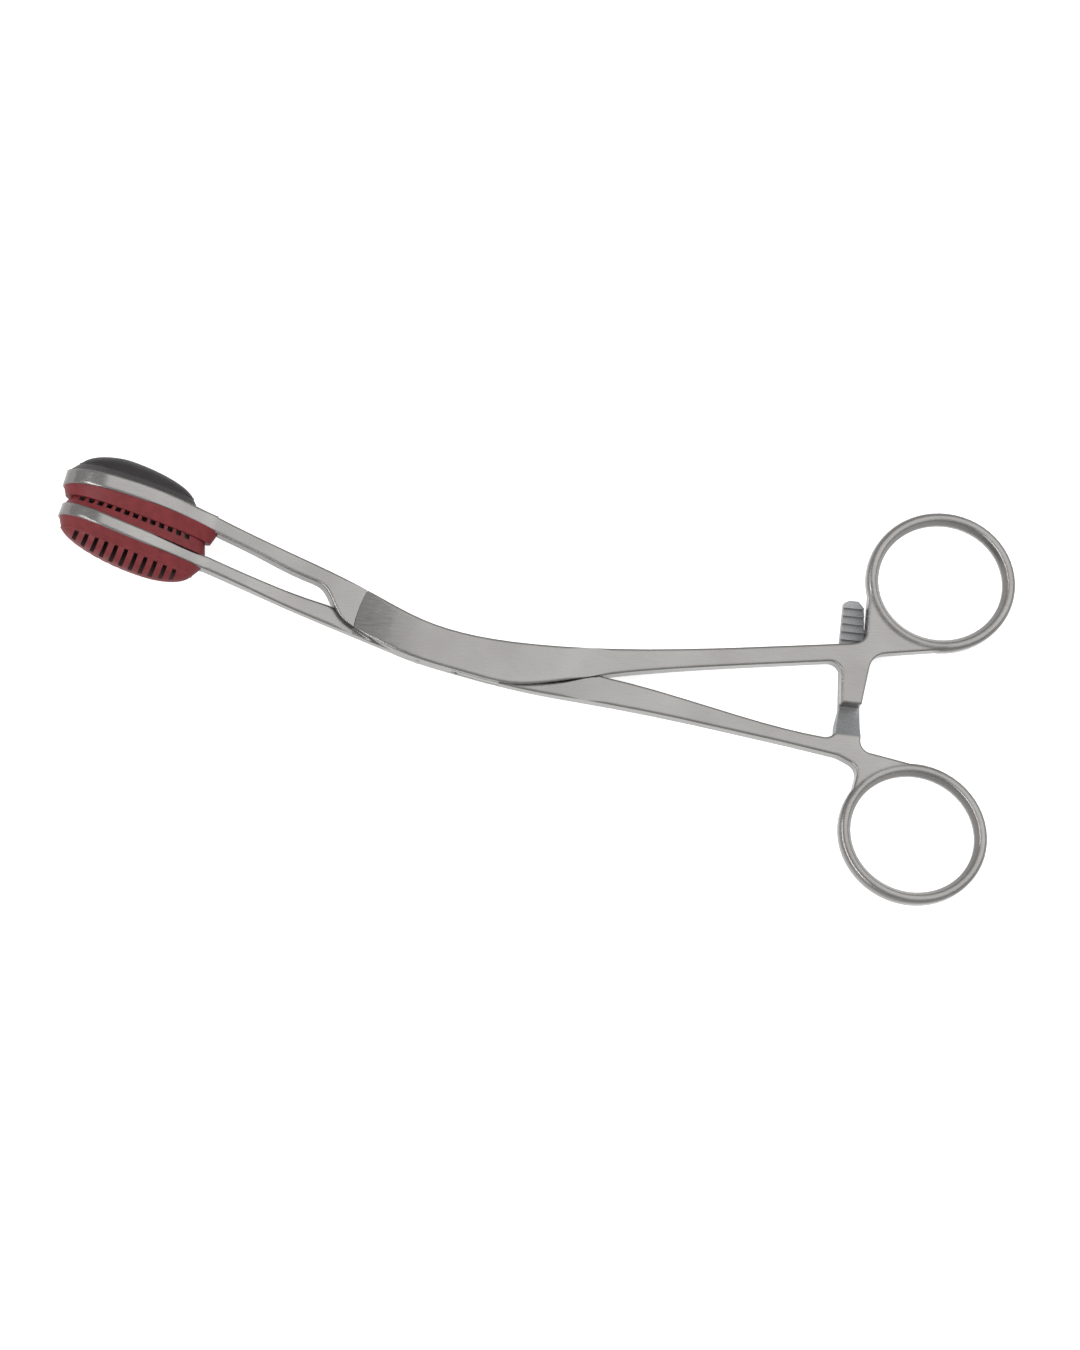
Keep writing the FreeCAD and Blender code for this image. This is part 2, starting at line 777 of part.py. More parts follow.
# Through half: lower ring, lower shank, tang and upper arm
upper_arm = front_blade().common(arm_side(shank_high, ring_low, -seam_radius - shoulder_run))
upper_arm = upper_arm.cut(seam_disc(seam_clearance))
touch, turn = tang_side(0, True)[:2]
shoulder_back = lower_arm_thickness + shoulder_clearance
behind_shoulder = [touch, turn, V(turn.x, -beyond, 0), V(0, -beyond, 0)]
upper_arm = upper_arm.cut(polygon(behind_shoulder, blade_low, shoulder_back))
lower_plate = lower_handle()
bar_zone = Part.makeBox(bar_room, beyond, blade_high - blade_low, V(bar_side, bend_start, blade_low))
shank_plate = lower_plate.common(lower_handle_side()).cut(bar_zone)
shank_plate = shank_plate.cut([
    cheek_room(blade_low, slot_low + running_clearance),
    cheek_room(slot_high - running_clearance, blade_high),
])
last_tooth = rear_bar_rise - 0.93 * tooth_pitch
rear_bar = lower_plate.common(rear_bar_bend())
rear_bar = rear_bar.cut(tooth_grooves(last_tooth, -tooth_pitch, rear_tooth_count, rear_bar_front, -tooth_depth))
pin_hole = Part.makeCylinder(pin_radius + running_clearance, lock_thickness, V(0, 0, 0))
through_half = upper_arm.fuse([tang(), shank_plate, rear_bar, finger_ring(lower_ring), upper_band])
through_half = through_half.cut(finger_hole(*lower_ring)).cut(pin_hole)

# Pin and rubber pads
pivot_pin = Part.makeCylinder(pin_radius, lock_thickness - pin_skin)
upper_pad = pad(upper_jaw_height, upper_crown, upper_heel_inset, -upper_heel_lap)
upper_pad = upper_pad.cut(jaw_band(upper_jaw_height))
upper_pad = placed(upper_pad, upper_jaw).cut([bite_side_cutter(upper_jaw)[0], upper_arm])
lower_pad = pad(lower_jaw_height, lower_crown, -lower_heel_lap, -lower_heel_lap)
lower_pad = lower_pad.cut([treads(lower_jaw_height, lower_crown), jaw_band(lower_jaw_height)])
lower_pad = placed(lower_pad, lower_jaw).cut([bite_side_cutter(lower_jaw)[0], notches(), lower_arm])

box_half.exportStep("parts/box_half.step")
through_half.exportStep("parts/through_half.step")
pivot_pin.exportStep("parts/pivot_pin.step")
upper_pad.exportStep("parts/upper_pad.step")
lower_pad.exportStep("parts/lower_pad.step")
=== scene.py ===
import json
import math
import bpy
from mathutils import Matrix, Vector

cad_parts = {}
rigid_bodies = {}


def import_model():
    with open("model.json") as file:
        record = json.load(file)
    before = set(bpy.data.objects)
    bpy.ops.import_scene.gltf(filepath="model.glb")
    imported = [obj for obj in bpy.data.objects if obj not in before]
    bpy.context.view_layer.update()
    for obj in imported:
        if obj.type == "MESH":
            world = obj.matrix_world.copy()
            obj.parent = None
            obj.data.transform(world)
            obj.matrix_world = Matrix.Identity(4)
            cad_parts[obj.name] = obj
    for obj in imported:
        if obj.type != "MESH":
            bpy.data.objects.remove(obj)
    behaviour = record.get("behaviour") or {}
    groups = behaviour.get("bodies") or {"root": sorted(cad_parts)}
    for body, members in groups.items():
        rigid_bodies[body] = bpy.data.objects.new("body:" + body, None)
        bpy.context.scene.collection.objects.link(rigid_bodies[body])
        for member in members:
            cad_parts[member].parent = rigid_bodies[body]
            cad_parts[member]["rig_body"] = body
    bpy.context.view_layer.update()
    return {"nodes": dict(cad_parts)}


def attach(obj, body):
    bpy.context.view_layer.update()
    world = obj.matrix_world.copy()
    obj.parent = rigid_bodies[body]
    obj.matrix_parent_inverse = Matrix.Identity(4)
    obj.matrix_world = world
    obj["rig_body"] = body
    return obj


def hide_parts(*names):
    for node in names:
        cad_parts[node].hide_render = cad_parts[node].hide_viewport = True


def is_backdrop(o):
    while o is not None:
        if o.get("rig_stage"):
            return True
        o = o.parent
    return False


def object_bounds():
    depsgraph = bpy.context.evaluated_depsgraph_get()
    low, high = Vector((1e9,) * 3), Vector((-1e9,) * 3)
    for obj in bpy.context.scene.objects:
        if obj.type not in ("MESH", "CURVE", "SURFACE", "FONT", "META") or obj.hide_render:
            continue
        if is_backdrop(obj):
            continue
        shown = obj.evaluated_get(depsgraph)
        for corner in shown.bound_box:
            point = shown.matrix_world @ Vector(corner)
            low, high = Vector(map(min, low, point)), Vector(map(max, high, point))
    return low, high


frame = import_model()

from types import SimpleNamespace

import bmesh
import bpy
import numpy as np
from mathutils import Matrix, Vector

bl_info = {
    "name": "Tongue forceps",
    "version": (1, 0, 0),
    "blender": (4, 5, 0),
    "location": "View3D > Sidebar > Forceps",
    "description": "Dresses the packed tongue forceps in satin steel and rubber and sets up its studio",
    "category": "Object",
}

MM = 0.001

# Packed jaw rings that the rubber has to fit, in millimetres. WIDEST and BOW_REACH are shares of a length.
JAW_LENGTH = 26.5
JAW_WIDTH = 11.4
JAW_BOW = 0.56
BOW_REACH = 0.55
WIDEST = 0.28
MID_PLANE = 2.0

# Moulded pads, in millimetres and degrees
LIP_INSET = 0.25
SHOULDER_HEIGHT = 2.15
SHOULDER_INSET = 2.0
BITE_FLANK = 4.0
BITE_SLANT = 1.4
BITE_GAP = 0.08
CROWN_LEAN = 13
CROWN_STEEPEST = 82

# Shares of the crown's half width that the plain spine, and the spine with its wall, may take near the
# ends, and the depth in a slot, from 0 to 1, from which a face counts as shaded
SPINE_SHARE = 0.6
WALL_SHARE = 0.65
SHADED_DEPTH = 0.3

# Grids of the pads: numbers of stations and rows, and shares of a flank's height
STATION_COUNT = 110
FACE_ROWS = 8
BITE_FLANK_ROWS = 14
BEAD_ROWS = (0.03, 0.06, 0.1, 0.15)
BEAD_PLACE = 0.07
BEAD_SPREAD = 0.05
FLANK_ROWS = np.linspace(0.22, 1, 12)

# Packed steel halves, in millimetres: the seam round the pin, the distances from it up to which edges
# stay crisp and from which they are fully rounded, the stretch of the lock that slopes toward it and the
# cells it is cut into, and the box round the rear ratchet bar below the face of the handle
SEAM_RADIUS = 21.4
SEAM_CRISP = 0.6
SEAM_SOFT = 4.0
SEAM_ROUNDING = 0.05
CREST_X = (-27, -6)
CREST_Y = (-8, 16)
CREST_CELL = (0.45, 0.6)
# RATCHET_BOX holds the faces that get the lighter steel with painted light
RATCHET_BOX = ((66, -7.6, -10), (73, 25, 3.45))

# Turns between two faces, in degrees: up to FLAT_TURN they count as one flat face, and from the others on
# their edge is kept sharp
FLAT_TURN = 0.6
SHARP_TURN = 28
CREST_SHARP_TURN = 10
RUBBER_SHARP_TURN = 40

# Patterns of the finishes, in millimetres. GRAIN_STRETCH is the scale along the grain over that across it.
GRAIN_STRETCH = 0.09
CLOUD_SIZE = 11
SPECK_SPACING = 0.15
MOTTLE_SIZE = 1.6
POWDER_SIZE = 0.22

# Studio: the frame in picture elements, the pin's place in it, the camera's view and the room in metres
FRAME_SIZE = (1080, 1350)
PIN_IN_FRAME = (470, 655)
VIEW_TOWARD = Vector((-0.14684, -0.21758, 0.96494))
VIEW_UP = Vector((-0.10943, 0.97309, 0.20276))
SENSOR_HEIGHT = 36.0
FLOOR_REACH = 3
FLOOR_DROP = 0.0002
SOFTBOX_PLACE = Vector((1.35, 0.84, 2.55))
SOFTBOX_SIZE = (2.75, 2.75)
STRIP_PLACE = Vector((-0.6, -0.25, 0.75))
STRIP_SIZE = (1.1, 0.25)


class Jaw:
    """One packed jaw ring and its pad: the place of its tip and its slope in the x-y plane, its outer side
    (1 above, -1 below), the ring's height, and how far the pad stays back from the heel on each side. The
    crown holds shares of the jaw's length: how far the shoulder line stays back from the tip and from the
    heel, then the lengths of the crown's rise and fall."""

    def __init__(self, name, tip, slope, side, height, crown, outer_heel, bite_heel):
        self.name = name
        self.tip = tip
        self.slope = math.radians(slope)
        self.side = side
        self.height = height
        self.crown = [share * JAW_LENGTH for share in crown]
        self.outer_heel = outer_heel
        self.bite_heel = bite_heel

    def place(self, along, outward):
        """Point in the x-y plane at a distance from the tip and a distance outward."""
        cos, sin = math.cos(self.slope), math.sin(self.slope)
        x = self.tip[0] + along * cos - self.side * outward * sin
        y = self.tip[1] + along * sin + self.side * outward * cos
        return x, y

    def local(self, x, y):
        """Distance from the tip and distance outward of a point in the x-y plane."""
        cos, sin = math.cos(self.slope), math.sin(self.slope)
        x, y = x - self.tip[0], y - self.tip[1]
        return x * cos + y * sin, self.side * (y * cos - x * sin)

    def bow(self, along):
        """How far the steel ring bows outward at a distance from the tip: a parabola over its length."""
        return JAW_BOW * (1 - ((along - JAW_LENGTH / 2) / (BOW_REACH * JAW_LENGTH)) ** 2)


UPPER_JAW = Jaw(
    name="upper",
    tip=(-74.6, 23.7),
    slope=-11.3,
    side=1,
    height=2.7,
    crown=(0.08, 0.14, 0.355, 0.52),
    outer_heel=2.2,
    bite_heel=-2.4,
)
LOWER_JAW = Jaw(
    name="lower",
    tip=(-74.9, 18.1),
    slope=-15.0,
    side=-1,
    height=2.2,
    crown=(0.05, 0.03, 0.585, 0.35),
    outer_heel=-0.5,
    bite_heel=-0.5,
)


# Small helpers


def linear(hex_colour):
    """Turn an sRGB hex colour into the linear RGBA that shader sockets expect."""
    values = [int(hex_colour[i : i + 2], 16) / 255 for i in (1, 3, 5)]
    return tuple(v / 12.92 if v <= 0.04045 else ((v + 0.055) / 1.055) ** 2.4 for v in values) + (1.0,)


def add_node(tree, kind, settings=None, inputs=None, stops=()):
    """Add a node, set its properties and its colour ramp's stops, and set or link its input sockets by
    name or number."""
    node = tree.nodes.new(kind)
    for name, value in (settings or {}).items():
        setattr(node, name, value)
    for name, value in (inputs or {}).items():
        if isinstance(value, bpy.types.NodeSocket):
            tree.links.new(value, node.inputs[name])
        else:
            node.inputs[name].default_value = value
    for index, (place, colour) in enumerate(stops):
        node.color_ramp.elements[index].position = place
        node.color_ramp.elements[index].color = colour
    return node


def new_material(name):
    """Start an empty node material and return it with its tree."""
    material = bpy.data.materials.new(name)
    material.use_nodes = True
    material.node_tree.nodes.clear()
    return material, material.node_tree


def new_object(name, data):
    """Put a mesh, lamp or camera into the scene under its own name."""
    thing = bpy.data.objects.new(name, data)
    bpy.context.scene.collection.objects.link(thing)
    return thing


# Materials


def broken_edges(tree, from_pin, rounding):
    """Normal of edges broken by hand. Their radius grows from nearly nothing at the seam round the lock to
    its full size a few millimetres away, so the seam stays crisp."""
    past_seam = add_node(
        tree, "ShaderNodeMath", {"operation": "SUBTRACT"}, {0: from_pin, 1: SEAM_RADIUS * MM}
    ).outputs[0]
    off_seam = add_node(tree, "ShaderNodeMath", {"operation": "ABSOLUTE"}, {0: past_seam}).outputs[0]
    radius = add_node(
        tree,
        "ShaderNodeMapRange",
        inputs={
            "Value": off_seam,
            "From Min": SEAM_CRISP * MM,
            "From Max": SEAM_SOFT * MM,
            "To Min": SEAM_ROUNDING * MM,
            "To Max": rounding,
        },
    ).outputs["Result"]
    return add_node(tree, "ShaderNodeBevel", {"samples": 8}, {"Radius": radius}).outputs["Normal"]


def falling_crest(tree, place, from_pin, look, normal):
    """Normal of the lock's face on its jaw side, which falls toward the seam as the square of the share of
    the way to it."""
    toward_seam = add_node(
        tree,
        "ShaderNodeMapRange",
        inputs={
            "Value": from_pin,
            "From Min": SEAM_RADIUS * MM - look.crest_length,
            "From Max": SEAM_RADIUS * MM,
        },
    ).outputs["Result"]
    fall = add_node(tree, "ShaderNodeMath", {"operation": "POWER"}, {0: toward_seam, 1: 2.0}).outputs[0]
    x = add_node(tree, "ShaderNodeSeparateXYZ", inputs={"Vector": place}).outputs["X"]
    jaw_side = add_node(tree, "ShaderNodeMath", {"operation": "LESS_THAN"}, {0: x, 1: 0.0}).outputs[0]
    lowered = add_node(
        tree, "ShaderNodeMath", {"operation": "MULTIPLY"}, {0: fall, 1: jaw_side}
    ).outputs[0]
    return add_node(
        tree,
        "ShaderNodeBump",
        {"invert": True},
        {"Strength": 1.0, "Distance": look.crest_fall, "Height": lowered, "Normal": normal},
    ).outputs["Normal"]


def satin_steel(name, grain_turn, look, has_crest):
    """Stainless instrument steel, forged, ground and then satined: a soft sheen that a fine grain draws
    out along the part, under faint clouds. The grain is drawn as coarse as it needs to show. The edges
    are broken by hand, so they catch a soft line of light."""
    material, tree = new_material(name)
    place = add_node(tree, "ShaderNodeTexCoord").outputs["Object"]
    along_part = add_node(
        tree,
        "ShaderNodeMapping",
        inputs={
            "Vector": place,
            "Rotation": (0, 0, math.radians(grain_turn)),
            "Scale": (GRAIN_STRETCH, 1.0, 1.0),
        },
    ).outputs["Vector"]
    grain = add_node(
        tree,
        "ShaderNodeTexNoise",
        inputs={"Vector": along_part, "Scale": 1 / look.grain_spacing, "Detail": 3.0, "Roughness": 0.6},
    ).outputs["Fac"]
    cloud = add_node(
        tree, "ShaderNodeTexNoise", inputs={"Vector": place, "Scale": 1 / (CLOUD_SIZE * MM), "Detail": 2.0}
    ).outputs["Fac"]
    half_cloud = add_node(
        tree, "ShaderNodeMath", {"operation": "MULTIPLY"}, {0: cloud, 1: 0.5}
    ).outputs[0]
    tone = add_node(
        tree, "ShaderNodeMath", {"operation": "MULTIPLY_ADD"}, {0: grain, 1: 0.5, 2: half_cloud}
    ).outputs[0]
    colour = add_node(
        tree,
        "ShaderNodeValToRGB",
        inputs={"Fac": tone},
        stops=((0.3, look.dark_tone), (0.7, look.light_tone)),
    ).outputs["Color"]
    roughness = add_node(
        tree,
        "ShaderNodeMapRange",
        inputs={
            "Value": grain,
            "From Min": 0.3,
            "From Max": 0.7,
            "To Min": look.roughness - 0.04,
            "To Max": look.roughness + 0.05,
        },
    ).outputs["Result"]
    flat_place = add_node(
        tree, "ShaderNodeVectorMath", {"operation": "MULTIPLY"}, {0: place, 1: (1, 1, 0)}
    ).outputs[0]
    from_pin = add_node(
        tree, "ShaderNodeVectorMath", {"operation": "LENGTH"}, {0: flat_place}
    ).outputs["Value"]
    normal = broken_edges(tree, from_pin, look.edge_rounding)
    if has_crest:
        normal = falling_crest(tree, place, from_pin, look, normal)
    grained = add_node(
        tree,
        "ShaderNodeBump",
        inputs={"Strength": 0.15, "Distance": 0.02 * MM, "Height": grain, "Normal": normal},
    ).outputs["Normal"]
    shader = add_node(
        tree,
        "ShaderNodeBsdfPrincipled",
        inputs={"Base Color": colour, "Metallic": 1.0, "Roughness": roughness, "Normal": grained},
    )
    add_node(tree, "ShaderNodeOutputMaterial", inputs={"Surface": shader.outputs[0]})
    return material


def painted_light_steel(name, look):
    """Painted light: the same steel drawn lighter and half matt in the ratchet, so that the rear bar, which
    lies in shade under the front bar, shows lit. It is even and without grain, with fine specks, and
    half of it is drawn as a matt grey."""
    material, tree = new_material(name)
    place = add_node(tree, "ShaderNodeTexCoord").outputs["Object"]
    specks = add_node(
        tree,
        "ShaderNodeTexNoise",
        inputs={"Vector": place, "Scale": 1 / (SPECK_SPACING * MM), "Detail": 2.0},
    ).outputs["Fac"]
    colour = add_node(
        tree,
        "ShaderNodeValToRGB",
        inputs={"Fac": specks},
        stops=((0.3, look.light_tone), (0.7, look.blasted_tone)),
    ).outputs["Color"]
    speckled = add_node(
        tree, "ShaderNodeBump", inputs={"Strength": 0.2, "Distance": 0.02 * MM, "Height": specks}
    ).outputs["Normal"]
    shader = add_node(
        tree,
        "ShaderNodeBsdfPrincipled",
        inputs={"Base Color": colour, "Metallic": 0.5, "Roughness": 0.5, "Normal": speckled},
    )
    add_node(tree, "ShaderNodeOutputMaterial", inputs={"Surface": shader.outputs[0]})
    return material


def moulded_rubber(name, deep, light):
    """Pressure-moulded instrument rubber: matt, slightly mottled where the mix flowed, with a powdery
    bloom that breaks up its weak shine."""
    material, tree = new_material(name)
    place = add_node(tree, "ShaderNodeTexCoord").outputs["Object"]
    mottle = add_node(
        tree, "ShaderNodeTexNoise", inputs={"Vector": place, "Scale": 1 / (MOTTLE_SIZE * MM), "Detail": 4.0}
    ).outputs["Fac"]
    powder = add_node(
        tree, "ShaderNodeTexNoise", inputs={"Vector": place, "Scale": 1 / (POWDER_SIZE * MM), "Detail": 2.0}
    ).outputs["Fac"]
    colour = add_node(
        tree, "ShaderNodeValToRGB", inputs={"Fac": mottle}, stops=((0.3, deep), (0.7, light))
    ).outputs["Color"]
    roughness = add_node(
        tree,
        "ShaderNodeMapRange",
        inputs={"Value": powder, "From Min": 0.3, "From Max": 0.7, "To Min": 0.45, "To Max": 0.6},
    ).outputs["Result"]
    powdered = add_node(
        tree, "ShaderNodeBump", inputs={"Strength": 0.2, "Distance": 0.03 * MM, "Height": powder}
    ).outputs["Normal"]
    shader = add_node(
        tree,
        "ShaderNodeBsdfPrincipled",
        inputs={
            "Base Color": colour,
            "Roughness": roughness,
            "Normal": powdered,
            "Specular IOR Level": 0.28,
        },
    )
    add_node(tree, "ShaderNodeOutputMaterial", inputs={"Surface": shader.outputs[0]})
    return material


# Steel


def paint_light_on_ratchet(mesh):
    """Give the second material, the lighter steel with painted light, to the faces whose centres lie in
    the box round the rear ratchet bar.
    """
    centres = np.zeros(3 * len(mesh.polygons))
    mesh.polygons.foreach_get("center", centres)
    centres = centres.reshape(-1, 3) / MM
    low, high = RATCHET_BOX
    in_ratchet = ((centres > low) & (centres < high)).all(axis=1)
    mesh.polygons.foreach_set("material_index", in_ratchet.astype(int))


def on_crest(place):
    """Whether a place lies in the stretch of the lock that slopes toward the seam."""
    return CREST_X[0] * MM < place.x < CREST_X[1] * MM


def cut_faces(shape, faces, place, normal):
    """Cut faces along a plane through a place, given in millimetres."""
    edges = dict.fromkeys(edge for face in faces for edge in face.edges)
    corners = dict.fromkeys(corner for face in faces for corner in face.verts)
    bmesh.ops.bisect_plane(
        shape,
        geom=[*corners, *edges, *faces],
        dist=0.001 * MM,
        plane_co=Vector(place) * MM,
        plane_no=normal,
    )


def slice_crest(shape):
    """Cut the crest beside the seam into small cells, so that its slope shades smoothly."""
    for x in np.arange(*CREST_X, CREST_CELL[0]):
        cut_faces(shape, shape.faces[:], (x, 0, 0), (1, 0, 0))
    for y in np.arange(*CREST_Y, CREST_CELL[1]):
        crest = [face for face in shape.faces if on_crest(face.calc_center_median())]
        cut_faces(shape, crest, (0, y, 0), (0, 1, 0))


def keep_sharp_edges(shape):
    """Shade smoothly over an edge unless its faces turn too much, and allow less on the crest, where the
    faces are small."""
    for face in shape.faces:
        face.smooth = True
    for edge in shape.edges:
        if len(edge.link_faces) == 2:
            middle = (edge.verts[0].co + edge.verts[1].co) / 2
            limit = CREST_SHARP_TURN if on_crest(middle) else SHARP_TURN
            edge.smooth = edge.calc_face_angle() < math.radians(limit)


def dressed_copy(node, name):
    """Merged copy of a CAD node with its flat faces joined. Its material rounds the edges."""
    source = frame["nodes"][node]
    mesh = source.data.copy()
    mesh.name = name
    mesh.materials.clear()
    shape = bmesh.new()
    shape.from_mesh(mesh)
    bmesh.ops.remove_doubles(shape, verts=shape.verts, dist=0.0005 * MM)
    bmesh.ops.dissolve_limit(
        shape,
        angle_limit=math.radians(FLAT_TURN),
        verts=shape.verts,
        edges=shape.edges,
        use_dissolve_boundaries=False,
    )
    if node == "box_half":
        slice_crest(shape)
    keep_sharp_edges(shape)
    shape.to_mesh(mesh)
    shape.free()
    piece = new_object(name, mesh)
    flats = piece.modifiers.new("flat faces stay flat", "WEIGHTED_NORMAL")
    flats.weight = 80
    flats.keep_sharp = True
    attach(piece, source["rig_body"])
    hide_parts(node)
    return piece


# Rubber


def jaw_outline(tip_inset, side_inset, heel_inset):
    """Start, widest place, end and half width of a jaw's outline, drawn in from each side."""
    end = JAW_LENGTH - heel_inset
    return tip_inset, tip_inset + WIDEST * (end - tip_inset), end, JAW_WIDTH / 2 - side_inset


def around(outline, turn):
    """Point of an outline at a turn: along = widest + reach cos(turn), across = half sin(turn), where the
    reach is the tip's or the heel's."""
    start, widest, end, half = outline
    reach = np.where(np.cos(turn) < 0, widest - start, end - widest)
    return widest + reach * np.cos(turn), half * np.sin(turn)


def turn_at(outline, along):
    """Turn at which an outline passes a distance from the tip."""
    start, widest, end, _ = outline
    reach = np.where(along < widest, widest - start, end - widest)
    return np.arccos(np.clip((along - widest) / reach, -1, 1))


def slot_centres(middle, pitch, count):
    """Centres of evenly spaced slots, half of them to each side of a middle."""
    return middle + pitch * (np.arange(count) - (count - 1) / 2)


def slot_walls(centres, width):
    """Places of both walls of each slot."""
    return np.concatenate([centres - width / 2, centres + width / 2])


def slot_share(along, centres, width, draft):
    """1 inside a slot and 0 outside, with a ramp as wide as the draft at each wall."""
    gap = np.abs(along[..., None] - centres).min(axis=-1) - width / 2
    return np.clip(0.5 - gap / draft, 0, 1)


def stations(start, end, walls, draft):
    """Places along a pad: start + length (1 - cos(turn)) / 2 for even turns, so closer toward both ends,
    with a pair at each slot wall, a draft apart."""
    even = start + (end - start) * (1 - np.cos(np.linspace(0, math.pi, STATION_COUNT))) / 2
    pairs = np.concatenate([walls - draft / 2, walls + draft / 2])
    pairs = pairs[(pairs > start + draft) & (pairs < end - draft)]
    return np.unique(np.concatenate([even, pairs]))


def rows_between(first, last, count):
    """Evenly spread rows from one row of numbers up to another, which is left out."""
    return first + (last - first) * (np.arange(count) / count)[:, None]


def rows_over_face():
    """Shares of the half width, from one edge of a flat face to the other, without the edges."""
    return (1 - 2 * np.arange(1, FACE_ROWS) / FACE_ROWS)[:, None]


def grid_faces(rows, columns, offset):
    """Quads of a tube's grid: rows wrap round, columns run on."""
    row, column = np.meshgrid(np.arange(rows), np.arange(columns - 1), indexing="ij")
    here = row * columns + column
    above = (row + 1) % rows * columns + column
    return np.stack([here, here + 1, above + 1, above], axis=-1).reshape(-1, 4) + offset


def crown_height(jaw, along, across, height):
    """Height of the crown over its shoulder line. The outline of the shoulder shrinks as 1 - cos(turn)
    while it rises as sin(turn), both from the crown's lean on, and halving finds the turn at which it
    passes through each point."""
    tip, heel, rise, fall = jaw.crown
    lean = math.radians(CROWN_LEAN)
    low, high = np.full(along.shape, lean), np.full(along.shape, math.radians(CROWN_STEEPEST))
    for _ in range(26):
        turn = (low + high) / 2
        drawn = 1 - np.cos(turn) / math.cos(lean)
        start, widest, end, half = jaw_outline(
            tip + rise * drawn,
            SHOULDER_INSET + (JAW_WIDTH / 2 - SHOULDER_INSET) * drawn,
            heel + fall * drawn,
        )
        reach = np.where(along < widest, widest - start, end - widest)
        inside = ((along - widest) / reach) ** 2 + (across / half) ** 2 < 1
        low, high = np.where(inside, turn, low), np.where(inside, high, turn)
    return height * (np.sin(low) - math.sin(lean)) / (1 - math.sin(lean))


def crown_rows(half, spine, inner, draft):
    """Distances across the crown at each station, from one shoulder line to the other: a row at each foot
    and brow of the slots' walls beside the spine and at their inner end, and even rows between."""
    near = np.minimum(spine + draft, WALL_SHARE * half)
    far = np.clip(inner - draft, near, half)
    rim = np.clip(inner, far, half)
    across = np.vstack([
        rows_between(0 * half, spine, 4),
        rows_between(spine, near, 1),
        rows_between(near, far, 16),
        rows_between(far, rim, 1),
        rows_between(rim, half, 8),
        half,
    ])
    return np.vstack([across[::-1], -across[1:]])


def crowned_side(jaw, sizes, has_treads):
    """Outer part of a pad: the crown with its cross slots, the flank down to the lip with a bead under the
    shoulder, and the lip's underside, as one closed tube. Gives distances along, outward and across, and
    each point's depth in a slot from 0 to 1."""
    tip, heel = jaw.crown[:2]
    level = jaw.height / 2
    top = level + SHOULDER_HEIGHT
    shoulder = jaw_outline(tip, SHOULDER_INSET, heel)
    centres = slot_centres(JAW_LENGTH / 2, sizes.tread_pitch, sizes.tread_count)
    walls = slot_walls(centres, sizes.tread_width) if has_treads else np.zeros(0)
    along = stations(shoulder[0], shoulder[2], walls, sizes.draft)
    turn = turn_at(shoulder, along)
    half = around(shoulder, turn)[1]
    margin = sizes.tread_margin
    window = jaw_outline(tip + margin, SHOULDER_INSET + margin, heel + margin)
    in_window = (along > window[0]) & (along < window[2])
    inner = np.where(in_window, around(window, turn_at(window, along))[1], 0)
    spine = np.minimum(sizes.tread_spine / 2, SPINE_SHARE * half)

    across = crown_rows(half, spine, inner, sizes.draft)
    columns = np.broadcast_to(along, across.shape)
    outward = top + crown_height(jaw, columns, across, sizes.crown_height - SHOULDER_HEIGHT)
    share = np.zeros(outward.shape)
    if has_treads:
        share = slot_share(columns, centres, sizes.tread_width, sizes.draft)
        share = share * np.clip((np.abs(across) - spine) / sizes.draft, 0, 1)
        share = share * np.clip((inner - np.abs(across)) / sizes.draft, 0, 1)
        share = np.where(outward > top + sizes.tread_floor, share, 0)
        outward = outward + (top + sizes.tread_floor - outward) * share

    down = np.concatenate([BEAD_ROWS, FLANK_ROWS])[:, None]
    bead = sizes.bead * np.exp(-(((down - BEAD_PLACE) / BEAD_SPREAD) ** 2))
    flank = jaw_outline(
        tip + (LIP_INSET - tip) * down - bead,
        SHOULDER_INSET + (LIP_INSET - SHOULDER_INSET) * down - bead,
        heel + (jaw.outer_heel - heel) * down - bead,
    )
    flank_along, flank_across = around(flank, turn)
    flank_outward = top + (level + jaw.bow(flank_along) - top) * down
    under = rows_over_face()
    lip_along = np.broadcast_to(flank_along[-1], (len(under), len(along)))
    unslotted = np.zeros((2 * len(down) + len(under), len(along)))
    return [
        np.vstack([columns, flank_along, lip_along, flank_along[::-1]]),
        np.vstack([outward, flank_outward, level + jaw.bow(lip_along), flank_outward[::-1]]),
        np.vstack([across, -flank_across, -flank_across[-1] * under, flank_across[::-1]]),
        np.vstack([share, unslotted]),
    ]


